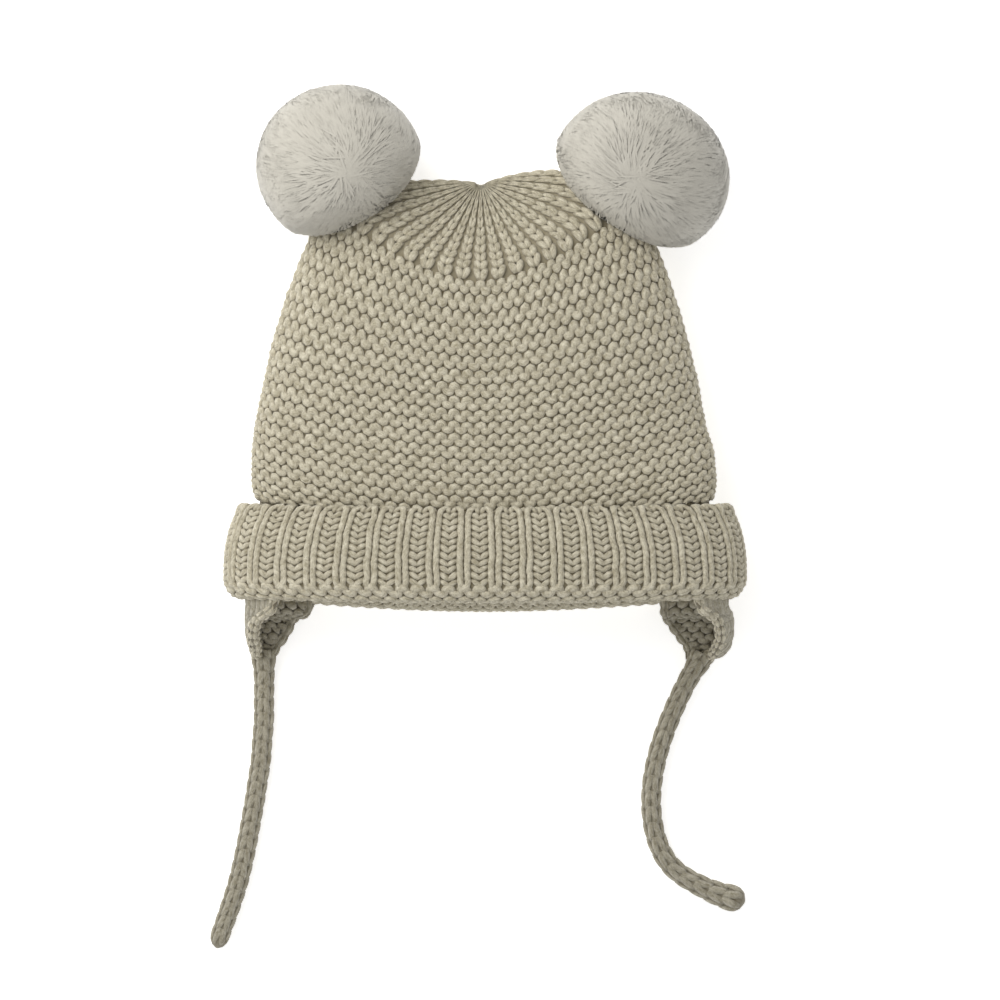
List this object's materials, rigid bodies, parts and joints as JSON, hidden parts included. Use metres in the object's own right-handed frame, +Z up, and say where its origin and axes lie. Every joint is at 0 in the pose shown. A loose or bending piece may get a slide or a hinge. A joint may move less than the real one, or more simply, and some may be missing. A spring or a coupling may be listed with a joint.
{
  "type": "baby hat with pompom ears, ear flaps and ties",
  "caption": "Knitted baby hat lying flat: garter-stitch crown gathered at the top, turned-up ribbed cuff, fur pompom ears, ear flaps and knitted tie cords.",
  "frame": {"origin": "on the surface that the hat lies on, under the middle of the hat without its ties", "axes": "+Z up out of the hat's front, +Y from the opening towards the top of the crown, +X to the right as seen from above"},
  "size_m": [0.1972, 0.315, 0.0541],
  "materials": {
    "garter_knit": "chunky heathered oatmeal yarn",
    "rib_knit": "chunky heathered oatmeal yarn",
    "flap_knit": "chunky heathered oatmeal yarn",
    "cord_knit": "chunky heathered oatmeal yarn",
    "fur": "soft ivory faux fur"
  },
  "bodies": {
    "root": {"crown": "garter_knit", "cuff": "rib_knit", "ear_flap_left": "flap_knit", "ear_flap_right": "flap_knit", "pompom_left": "fur", "pompom_right": "fur", "tie_left": "cord_knit", "tie_right": "cord_knit"}
  },
  "joints": []
}
